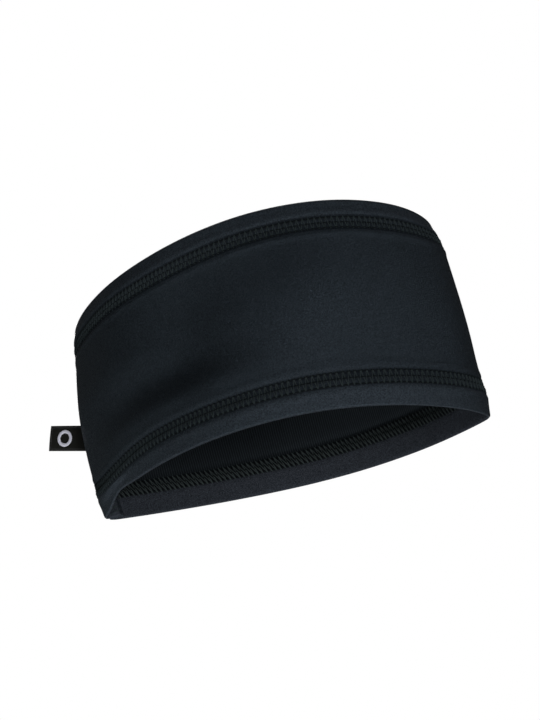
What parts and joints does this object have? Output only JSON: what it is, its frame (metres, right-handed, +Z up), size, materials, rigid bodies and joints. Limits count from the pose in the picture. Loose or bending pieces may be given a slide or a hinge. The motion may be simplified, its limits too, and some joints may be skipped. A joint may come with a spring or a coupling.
{
  "type": "sports headband",
  "caption": "Wide stretch-knit sports headband with a folded hem band flat-seamed to each rim, a back seam and a small folded label.",
  "frame": {"origin": "middle of the bounding box at the height of the bottom rim", "axes": "+Z up as worn, +X towards the forehead, -X towards the back seam and its label, +Y to the wearer's left"},
  "size_m": [0.2218, 0.1292, 0.0984],
  "materials": {
    "body_knit": "fine jersey knit, matt",
    "hem_knit": "fine jersey knit, matt, slightly lighter",
    "needle_thread": "twisted polyester sewing thread",
    "cover_thread": "textured polyester looper thread",
    "label_tape": "woven damask tape",
    "emblem": "light woven yarn"
  },
  "bodies": {
    "band": {"body_panel": "body_knit", "top_hem_band": "hem_knit", "bottom_hem_band": "hem_knit", "top_seam_outer_cover_thread": "cover_thread", "top_seam_inner_looper_thread": "cover_thread", "top_seam_hem_needle_thread": "needle_thread", "top_seam_middle_needle_thread": "needle_thread", "top_seam_body_needle_thread": "needle_thread", "bottom_seam_outer_cover_thread": "cover_thread", "bottom_seam_inner_looper_thread": "cover_thread", "bottom_seam_hem_needle_thread": "needle_thread", "bottom_seam_middle_needle_thread": "needle_thread", "bottom_seam_body_needle_thread": "needle_thread", "back_seam_needle_thread": "needle_thread", "back_seam_upper_looper_thread": "cover_thread", "back_seam_lower_looper_thread": "cover_thread", "label_tail": "label_tape"},
    "label": {"label_loop": "label_tape", "label_emblem": "emblem"}
  },
  "joints": [
    {"name": "label_flex", "type": "hinge", "parent": "band", "child": "label", "pos_m": [-0.08896, 0.00081, 0.0435], "axis": [-0.0234, -0.0727, 0.9971], "range_deg": [-80, 80]}
  ]
}
